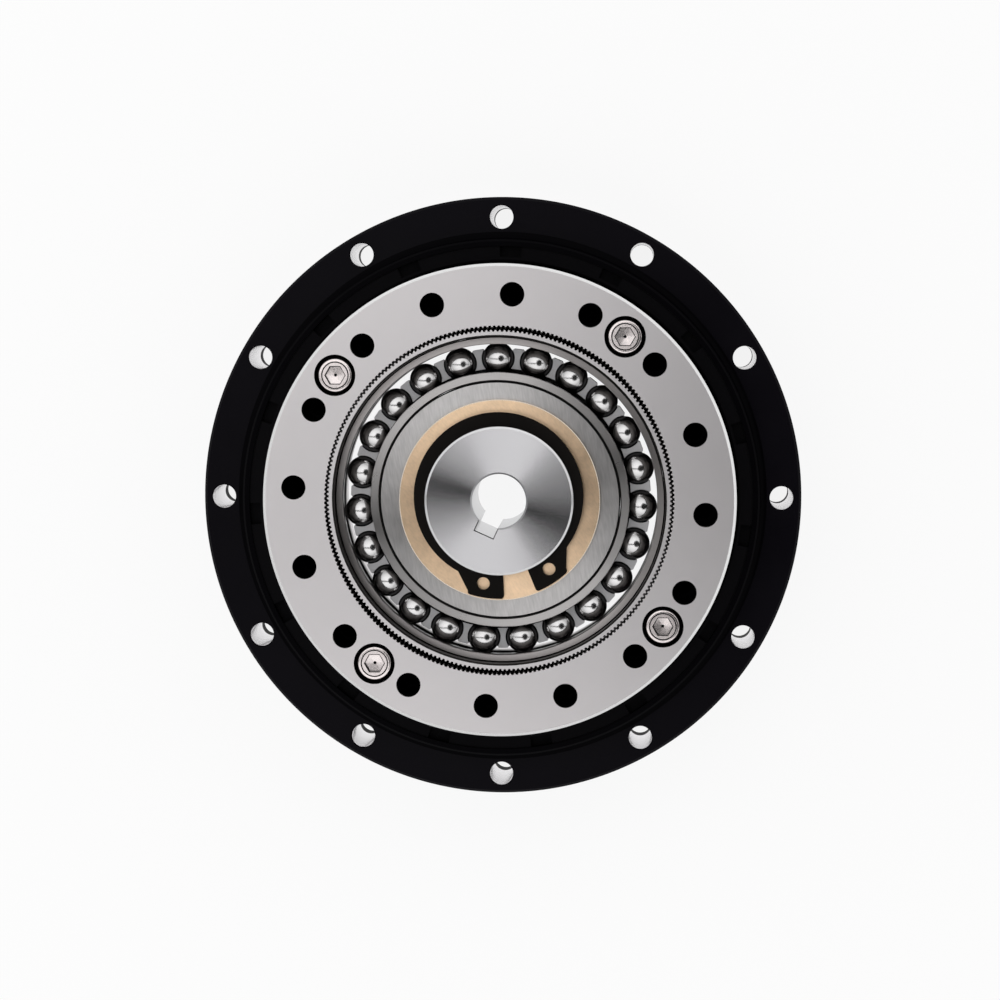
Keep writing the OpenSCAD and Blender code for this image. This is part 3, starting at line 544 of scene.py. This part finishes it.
def seal_ring(metals):
    """The rubber ring in front of the bearing: its outer part drops by a step in fifteen short notches."""
    count, first, width, depth = 15, 15.6, 3.2, 1.0
    low, top = heights("seal_ring")
    outer_r = reach("seal_ring")
    inner_r = outer_r - 2.18
    notch_r = inner_r + 0.6
    half = math.degrees(width / 2 / (notch_r + 0.8))
    between = np.linspace(half, TURN / count - half, 14)
    across = np.array([-half, -half / 2, half / 2, half])
    angles = (first + TURN / count * np.arange(count)[:, None] + np.concatenate([across, between])).ravel()
    tops = np.tile(np.concatenate([np.full(len(across), top - depth), np.full(len(between), top)]), count)
    flat = np.full(len(angles), 1.0)
    rings = [(inner_r * flat, (low + 0.5) * flat), ((inner_r + 0.5) * flat, low * flat), (outer_r * flat, low * flat),
             (outer_r * flat, tops), (notch_r * flat, tops), (notch_r * flat, top * flat),
             ((inner_r + 0.2) * flat, top * flat), (inner_r * flat, (top - 0.2) * flat)]
    ring = Surface()
    ring.wall([np.column_stack([polar(r, angles), z]) for r, z in rings], closed=True)
    return finished("notched_seal", ring, [metals["rubber"]], "housing", ["seal_ring"])


# The wave bearing

def race(metals, outer):
    """A thin race bent into the wave: a turned profile with a ball groove, chamfered at its edges."""
    side = 1 if outer else -1
    wall_r = RIM_BORE_R - 0.02 if outer else 17.78
    bottom_r = wall_r - 0.72 if outer else wall_r + 0.59
    lip_r = bottom_r - 0.38 if outer else bottom_r + 0.73
    groove_r, edge, sides = 2.5, 0.16, 300
    centre_r = bottom_r - side * groove_r
    half = math.degrees(math.acos(abs(lip_r - centre_r) / groove_r))
    groove = arc((0.0, 0.0), groove_r, -half, half, 12) * (side, 1) + (centre_r, BALL_Z)
    track = [(lip_r, BEARING_BACK + edge), *groove, (lip_r, BEARING_FRONT - edge)]
    body = [track[-1], (lip_r + side * edge / 2, BEARING_FRONT), (wall_r - side * edge, BEARING_FRONT),
            (wall_r, BEARING_FRONT - edge), (wall_r, BEARING_BACK + edge), (wall_r - side * edge, BEARING_BACK),
            (lip_r + side * edge / 2, BEARING_BACK), track[0]]
    ring = Surface()
    # the ball groove, the wall's chamfers, the wall and the back take the dark painted shade; only the front face and
    # its lip chamfer keep the race steel
    ring.wall(turned(track, sides, share=1.0), finish=1)
    ring.wall(turned(body, sides, share=1.0), finish=np.array([[0, 0, 1, 1, 1, 1, 1]]).T)
    name = "wave_bearing_outer_race" if outer else "wave_bearing_inner_race"
    used = [metals["outer_race" if outer else "race"], metals["groove"]]
    return finished(name, ring, used, "wave_generator",
                    ["wave_outer_race" if outer else "wave_inner_race"])


def balls(metals):
    """The balls: latitude and longitude grids about the middles of their places, their lower parts painted dark as
    shade up to their pockets' rims.
    """
    around, down, shade_line = 48, 25, 53.0
    ring = Surface()
    tilt = np.linspace(0, 180, down)
    turn = TURN * np.arange(around) / around
    unit = np.stack([np.column_stack([polar(np.full(around, math.sin(math.radians(t))), turn),
                                      np.full(around, math.cos(math.radians(t)))]) for t in tilt])
    # faces below the shade line take the dark painted shade
    greased = (tilt[1:, None] > shade_line).astype(int)
    for x, y in places(BALLS, BALL_CIRCLE_R, BALL_ANGLE):
        ring.wall(unit * BALL_R + np.array([x, y, BALL_Z]), finish=greased)
    used = [metals["ball"], metals["greased"]]
    return finished("wave_bearing_balls", ring, used, "ball_train", ["wave_balls"], 60)


def cage(metals):
    """The comb cage: its top is the lower of a flat ring and the pockets' spheres, so pillars stand between balls.

    Every radius has its own places for the pocket's edge, where the sphere's rim crosses that radius. The outer
    corners of the pillars are cut away: the plan radius falls by `corner` towards each ball, growing from `knee` out.
    """
    low, top = heights("ball_cage")
    inner_r, outer_r, pocket_r, steps, across = 19.45, 22.45, BALL_R + 0.1, 15, 6
    radii = np.linspace(outer_r, inner_r, 13)
    step = TURN / BALLS
    spread = np.degrees(np.arccos((radii**2 + BALL_CIRCLE_R**2 - pocket_r**2) / (2 * radii * BALL_CIRCLE_R)))
    share = np.concatenate([np.linspace(-1, 1, steps), [1.0]])
    in_pocket = spread[:, None] * share
    over = np.column_stack([(spread + (step - 2 * spread) * k / across) for k in range(1, across + 1)])
    offsets = np.column_stack([in_pocket, over])
    corner, knee, cut_end, cut_full = 0.38, 21.5, 5.8, 5.2
    from_ball = np.minimum(np.abs(offsets), np.abs(step - offsets))
    outward = np.clip((radii[:, None] - knee) / (outer_r - knee), 0, 1)
    plan = radii[:, None] - corner * outward * np.clip((cut_end - from_ball) / (cut_end - cut_full), 0, 1)
    near, reach_r = np.radians(in_pocket), plan[:, :len(share)]
    apart = reach_r**2 + BALL_CIRCLE_R**2 - 2 * reach_r * BALL_CIRCLE_R * np.cos(near)
    floor = BALL_Z - np.sqrt(np.clip(pocket_r**2 - apart, 0, None))
    floor[:, -1] = top
    levels = np.column_stack([floor, np.full((len(radii), across), top)])
    angles = (BALL_ANGLE + step * np.arange(BALLS)[None, :, None] + offsets[:, None, :]).reshape(len(radii), -1)
    tops = np.repeat(levels[:, None, :], BALLS, 1).reshape(len(radii), -1)
    plans = np.repeat(plan[:, None, :], BALLS, 1).reshape(len(radii), -1)
    rings = [np.column_stack([polar(r, a), z]) for r, a, z in zip(plans, angles, tops)]
    lip_r, lip_low, lip_top = inner_r - 0.85, BEARING_BACK - 0.4, BEARING_BACK - 0.12
    under = [(inner_r, lip_top), (lip_r, lip_top), (lip_r, lip_low), (inner_r + 0.4, lip_low), (inner_r + 0.4, low)]
    bottom = [lift(rings[-1][:, :2] * (r / inner_r), z) for r, z in under] + [lift(rings[0][:, :2], low)]
    shaded = np.tile([1] * steps + [0] * across + [1], BALLS)
    ring = Surface()
    ring.wall(rings, finish=shaded)
    ring.wall([rings[-1], *bottom, rings[0]], finish=1)
    return finished("ball_comb_cage", ring, [metals["cage"], metals["pocket"]], "ball_train",
                    ["ball_cage"])


# The wave generator

def notched(radius, half_width, far, direction, both):
    """A circle with one or two square notches: the loop, the arc over each notch, and each notch's far corners."""
    corner = math.degrees(math.asin(half_width / radius))
    end = math.degrees(math.atan2(half_width, far))
    far_r = math.hypot(half_width, far)
    gaps = [0.0, 180.0] if both else [0.0]
    run = TURN / len(gaps) - 2 * corner
    loop, covers = [], []
    for gap in gaps:
        loop.append(polar(np.full(2, far_r), direction + gap + np.array([-end, end])))
        loop.append(arc((0, 0), radius, direction + gap + corner, direction + gap + corner + run,
                        NOTCH_STEPS // len(gaps)))
        covers.append(arc((0, 0), radius, direction + gap - corner, direction + gap + corner, 8))
    return np.vstack(loop), covers


def plug(metals):
    """The elliptical plug: bent outside, round inside, with two slots in its rear face for the floating disc."""
    outer_r, bore_r, edge = 17.74, 11.554, 0.2
    slot_half, slot_far, slot_top = 2.55, 16.0, BEARING_BACK + 2.8
    sides = 300
    angles = TURN * np.arange(sides) / sides

    def ellipse(inset):
        return polar(bent(outer_r - inset, angles), angles)

    loop, covers = notched(bore_r, slot_half, slot_far, WAVE_ANGLE + 90, True)
    run = NOTCH_STEPS // 2 + 1
    arcs = [loop[2:2 + run], loop[4 + run:4 + 2 * run]]
    round_bore = np.vstack([covers[0][:-1], arcs[0][:-1], covers[1][:-1], arcs[1][:-1]])
    form = Surface()
    form.flat(BEARING_FRONT, ellipse(edge), round_bore * ((bore_r + edge) / bore_r))
    # the plug's outer wall and chamfers take the dark painted shade, a shadow line against the inner race
    form.wall([lift(ellipse(edge), BEARING_FRONT), lift(ellipse(0), BEARING_FRONT - edge),
               lift(ellipse(0), BEARING_BACK + edge), lift(ellipse(edge), BEARING_BACK)], finish=1)
    form.wall([lift(round_bore * ((bore_r + edge) / bore_r), BEARING_FRONT), lift(round_bore, BEARING_FRONT - edge),
               lift(round_bore, slot_top)])
    form.wall([lift(loop, slot_top), lift(loop, BEARING_BACK)])
    form.flat(BEARING_BACK, ellipse(edge), loop)
    for k, cover in enumerate(covers):
        corners = loop[:2] if k == 0 else loop[2 + run:4 + run]
        form.flat(slot_top, np.vstack([corners, cover[::-1]]))
    return finished("wave_plug_body", form, [metals["plug"], metals["dark"]], "wave_generator",
                    ["wave_plug"])


def hub(metals):
    """The hub: flanged behind with two tabs, grooved for its ring, bored and keyed right through."""
    low, top = heights("input_hub")
    hub_r, flange_r, flange_top = 11.0, reach("input_hub"), low + 3.9
    edge, mouth, groove = 0.3, 0.25, 0.55
    ring_low, ring_high = heights("snap_ring")
    key_half, key_far, key_edge, sides = 1.5, SHAFT_R + 1.4, 0.12, 240
    wide, _ = notched(SHAFT_R + mouth, key_half + key_edge, key_far + key_edge, KEY_ANGLE, False)
    tight, _ = notched(SHAFT_R, key_half, key_far, KEY_ANGLE, False)
    tab_in, tab_out, tab_half, tab_h = 11.754, flange_r - 0.02, 2.5, 2.6
    form = Surface()
    form.flat(top, circle(hub_r - edge, sides), wide)
    key_start = len(form.finishes)
    form.wall([lift(wide, top), lift(tight, top - mouth), lift(tight, low + mouth), lift(wide, low)], finish=1)
    # three quads at the keyway's mouth take the dark painted shade
    for corner in (0, 1, len(wide) - 1):
        form.finishes[key_start + corner] = 3
    form.flat(low, circle(flange_r - 0.5, sides), wide)
    # the top chamfer takes the painted highlight
    form.wall(turned([(hub_r - edge, top), (hub_r, top - 0.5 * edge)], sides), finish=2)
    form.wall(turned([(hub_r, top - 0.5 * edge), (hub_r, ring_high + 0.05),
                      (hub_r - groove, ring_high + 0.05), (hub_r - groove, ring_low - 0.05),
                      (hub_r, ring_low - 0.05), (hub_r, flange_top)], sides), finish=1)
    form.wall(turned([(flange_r, flange_top), (flange_r, low + 0.5), (flange_r - 0.5, low)], sides), finish=1)
    tabs = []
    for side in (0.0, 180.0):
        ends = [math.degrees(math.asin(tab_half / r)) for r in (tab_in, tab_out)]
        middle = WAVE_ANGLE + side
        tabs.append(np.vstack([arc((0, 0), tab_out, middle - ends[1], middle + ends[1], 12),
                               arc((0, 0), tab_in, middle + ends[0], middle - ends[0], 12)]))
    form.flat(flange_top, circle(flange_r, sides), circle(hub_r, sides), *tabs, finish=1)
    for tab in tabs:
        form.wall([lift(tab, flange_top), lift(tab, flange_top + tab_h)], finish=1)
        form.flat(flange_top + tab_h, tab, finish=1)
    used = [metals[name] for name in ("hub", "bore", "hub_edge", "dark")]
    return finished("keyed_hub", form, used, "hub", ["input_hub"], smooth_under=15)


def washer(metals):
    """The bronze rub washer: a flat ring with lightly broken edges."""
    low, top = heights("rub_washer")
    outer_r, inner_r, edge = reach("rub_washer"), 11.05, 0.1
    ring = Surface()
    # the outer top chamfer takes the painted highlight
    ring.wall(turned([(inner_r, low), (inner_r, top - edge), (inner_r + edge, top), (outer_r - edge, top),
                      (outer_r, top - 0.65 * edge), (outer_r, low)], 240), closed=True,
              finish=np.array([[0, 0, 0, 1, 0, 0]]).T)
    used = [metals["bronze"], metals["bronze_edge"]]
    return finished("bronze_rub_washer", ring, used, "hub", ["rub_washer"])


def snap_ring(metals):
    """The snap ring: an eccentric circle outside, a true one inside, and a lug with a plier hole at each end."""
    low, top = heights("snap_ring")
    inner_r, outer_r, shift, lug_r = 10.5, 12.55, 0.55, 14.6
    gap, lug_end, slope = 9.8, 31.8, 11.0
    hole_r, hole_angle, hole_circle_r = 0.95, 23.44, 12.55
    away = np.linspace(lug_end + slope, TURN - lug_end - slope, 120)
    turn = np.radians(away)
    body_r = -shift * np.cos(turn) + np.sqrt(outer_r**2 - (shift * np.sin(turn))**2)
    corner, tilt, plain = 0.45, np.radians(np.linspace(0, 90, 6)), 6
    lug_edge_r = lug_r - corner * (1 - np.sin(tilt))
    inset = np.degrees(corner * (1 - np.cos(tilt)) / lug_r)
    lug = np.concatenate([gap + inset, np.linspace(gap + inset[-1], lug_end - inset[-1], plain + 2)[1:-1],
                          (lug_end - inset)[::-1]])
    lug_out_r = np.concatenate([lug_edge_r, np.full(plain, lug_r), lug_edge_r[::-1]])
    outside = np.vstack([polar(lug_out_r, lug), polar(body_r, away), polar(lug_out_r[::-1], -lug[::-1])])
    inside_arc = arc((0, 0), inner_r, -gap, gap - TURN, 120)
    loop = np.vstack([outside, inside_arc])
    eyes = [circle(hole_r, 32, polar(hole_circle_r, s * hole_angle)) for s in (-1, 1)]
    spin = Matrix.Rotation(math.radians(SNAP_ANGLE), 2)
    loop, eyes = loop @ np.array(spin).T, [eye @ np.array(spin).T for eye in eyes]
    form = Surface()
    for height in (low, top):
        form.flat(height, loop, *eyes)
    for outline in (loop, *eyes):
        form.wall([lift(outline, low), lift(outline, top)])
    piece = finished("black_snap_ring", form, [metals["snap"]], "hub", ["snap_ring"])
    rounded = piece.modifiers.new("rounded_edges", "BEVEL")
    rounded.width, rounded.segments, rounded.limit_method = 0.07 * MM, 2, "ANGLE"
    rounded.angle_limit = math.radians(40)
    return piece


def spline_screws(metals):
    """Socket screws: a turned head with a rounded shoulder and a cut ring, and a hexagon socket with a cone below."""
    head_r, head_top, seat = 2.6, FRONT - 0.3, FRONT - 3.3
    shank_r, shank_end, key_r, socket = 1.5, FRONT - 15.3, 2.5 / 2 / math.cos(math.radians(30)), 0.9
    ring_r, ring_half, lead = 1.95, 0.09, 0.13
    shoulder = arc((head_r - 0.4, head_top - 0.4), 0.4, 90, 0, 6)
    rim = [*shoulder, (head_r, seat), (shank_r, seat), (shank_r, shank_end + 0.3), (shank_r - 0.3, shank_end)]
    cut = [(ring_r - ring_half, head_top), (ring_r - ring_half / 2, head_top - 0.15),
           (ring_r + ring_half / 2, head_top - 0.15), (ring_r + ring_half, head_top)]
    form = Surface()
    for x, y in places(4, OUTPUT_HOLES["pcd_mm"] / 2, SPLINE_SCREW_ANGLE):
        centre = np.array([x, y])
        mouth, hexagon = circle(key_r + lead, 6, centre), circle(key_r, 6, centre)
        form.flat(head_top, circle(cut[0][0], 48, centre), mouth)
        # the head's cut ring takes the dark painted shade
        form.wall([lift(circle(r, 48, centre), z) for r, z in cut], finish=1)
        form.wall([lift(circle(r, 48, centre), z) for r, z in [cut[-1], *rim]])
        form.flat(shank_end, circle(shank_r - 0.3, 48, centre))
        # the socket's mouth chamfer takes the dark painted shade, an outline round the hexagon
        form.wall([lift(mouth, head_top), lift(hexagon, head_top - lead), lift(hexagon, head_top - socket)], finish=1)
        form.wall([lift(hexagon, head_top - socket), lift(circle(0.25, 6, centre), head_top - socket - 0.06)])
        # the cone's tip takes the dark painted shade
        form.wall([lift(circle(0.25, 6, centre), head_top - socket - 0.06),
                   lift(circle(0.05, 6, centre), head_top - socket - 0.5)], finish=1)
        form.flat(head_top - socket - 0.5, circle(0.05, 6, centre), finish=1)
    return finished("spline_socket_screws", form, [metals["screw"], metals["dark"]], "output",
                    ["spline_screws"])


# The studio

def flat_stage(name, points, colour):
    """One flat piece of the studio, its face looking up, and the graph of its material."""
    sheet = bpy.data.objects.new(name, bpy.data.meshes.new(name))
    sheet.data.from_pydata(points.tolist(), [], [tuple(range(len(points)))])
    made = bpy.data.materials.new(name)
    graph = Graph(made)
    paint = graph.node("ShaderNodeBsdfDiffuse", None, {"Color": (colour, colour, colour, 1.0)})
    sheet.data.materials.append(made)
    bpy.context.scene.collection.objects.link(sheet)
    return sheet, graph, paint


def studio():
    """A pale floor under a white tent: two wide softboxes with a slot between them, a pale rim and a dark hood."""
    half, drop, white = 6.0, 0.00005, 0.88
    corners = np.array([(-1, -1), (1, -1), (1, 1), (-1, 1)]) * half
    floor, graph, paint = flat_stage("floor", lift(corners, -drop), 0.9)
    path = [graph.node("ShaderNodeLightPath", output=ray)
            for ray in ("Is Camera Ray", "Is Glossy Ray", "Is Transmission Ray")]
    glow = graph.node("ShaderNodeEmission", None, {"Strength": 1.0})
    place = graph.node("ShaderNodeTexCoord", output="Object")
    away = graph.node("ShaderNodeVectorMath", {"operation": "LENGTH"}, {0: place}, output="Value")
    clean = graph.node("ShaderNodeMapRange", None, {"Value": away, "From Min": 0.06, "From Max": 0.3,
                                                    "To Min": white, "To Max": 1.0})
    seen = graph.node("ShaderNodeMixShader", None, {0: (path[0] + path[1] + path[2]) * clean, 1: paint, 2: glow})
    clear = graph.node("ShaderNodeBsdfTransparent")
    below = graph.node("ShaderNodeNewGeometry", output="Backfacing")
    mixed = graph.node("ShaderNodeMixShader", None, {0: below, 1: seen, 2: clear})
    graph.node("ShaderNodeOutputMaterial", None, {"Surface": mixed})
    floor.data.materials[0].cycles.emission_sampling = "NONE"

    sky = bpy.data.worlds.new("tent")
    bpy.context.scene.world = sky
    graph = Graph(sky)
    way = graph.node("ShaderNodeTexCoord", output="Generated")
    split = graph.node("ShaderNodeSeparateXYZ", None, {0: way}, output="Z")
    stops = [(0.0, 0.62), (0.16, 0.64), (0.23, 1.0), (0.28, 1.0), (0.36, 0.03), (1.0, 0.03)]
    shade = graph.node("ShaderNodeValToRGB", {"stops": stops}, {0: split})
    seen = graph.node("ShaderNodeLightPath", output="Is Camera Ray")
    strength = graph.node("ShaderNodeMix", {"data_type": "RGBA"}, {"Factor": seen, 6: shade, 7: (1.0, 1.0, 1.0, 1.0)},
                          output=2)
    background = graph.node("ShaderNodeBackground", None, {"Color": strength, "Strength": 1.0})
    graph.node("ShaderNodeOutputWorld", None, {"Surface": background})

    height, reach_out, slot_y, slot_half, brightness, half_spread = 0.5, 2.4, -0.039, 0.035, 1.4, math.radians(75)
    for name, near, far in (("upper_softbox", slot_y + slot_half, reach_out),
                            ("lower_softbox", -reach_out, slot_y - slot_half)):
        lamp = bpy.data.lights.new(name, "AREA")
        lamp.shape, lamp.size, lamp.size_y = "RECTANGLE", 2 * reach_out, far - near
        lamp.spread = 2 * half_spread
        lamp.energy = brightness * math.pi * lamp.size * lamp.size_y * (1 - half_spread / math.tan(half_spread))
        light = bpy.data.objects.new(name, lamp)
        light.location = (0.0, (near + far) / 2, height)
        light.visible_camera = False
        bpy.context.scene.collection.objects.link(light)

    hood_height, hood_r, hood_centre = 0.46, 0.2, (0.22, 0.0)
    hood, graph, paint = flat_stage("camera_hood", lift(circle(hood_r, 64, hood_centre), hood_height), 0.01)
    graph.node("ShaderNodeOutputMaterial", None, {"Surface": paint})
    hood.visible_camera = False


def camera():
    """The camera looks down at the output face, leaning a little to one side and upwards, from 411 mm away."""
    lean_up, lean_side, away, offset = 4.06, 2.7, 411.4, (0.17, 0.18)
    lens = bpy.data.cameras.new("camera")
    lens.sensor_width = 36.0
    lens.lens = 100.41
    seat = bpy.data.objects.new("camera", lens)
    turn = Matrix.Rotation(math.radians(lean_side), 3, "Y") @ Matrix.Rotation(math.radians(-lean_up), 3, "X")
    place = turn @ Vector((*offset, away)) + Vector((0.0, 0.0, FRONT))
    seat.matrix_world = Matrix.Translation(place * MM) @ turn.to_4x4()
    bpy.context.scene.collection.objects.link(seat)
    bpy.context.scene.camera = seat


METALS = finishes()
circular_spline(METALS)
flexspline(METALS)
outer_ring(METALS)
seal_ring(METALS)
race(METALS, outer=True)
race(METALS, outer=False)
balls(METALS)
cage(METALS)
plug(METALS)
hub(METALS)
washer(METALS)
snap_ring(METALS)
spline_screws(METALS)
# the bearing's inner ring takes the near-black painted shade seen down the ring's holes
KEPT_NODES = {"filling_plug": "black", "filling_plug_pin": "race", "flange_oring": "rubber", "rear_screws": "dark",
              "bearing_inner_ring": "hole", "crossed_rollers": "roller", "roller_spacers": "spacer",
              "oldham_disc": "oldham"}
for kept, metal in KEPT_NODES.items():
    frame["nodes"][kept].data.materials.clear()
    frame["nodes"][kept].data.materials.append(METALS[metal])
studio()
camera()
bpy.context.scene.view_settings.view_transform = "Standard"
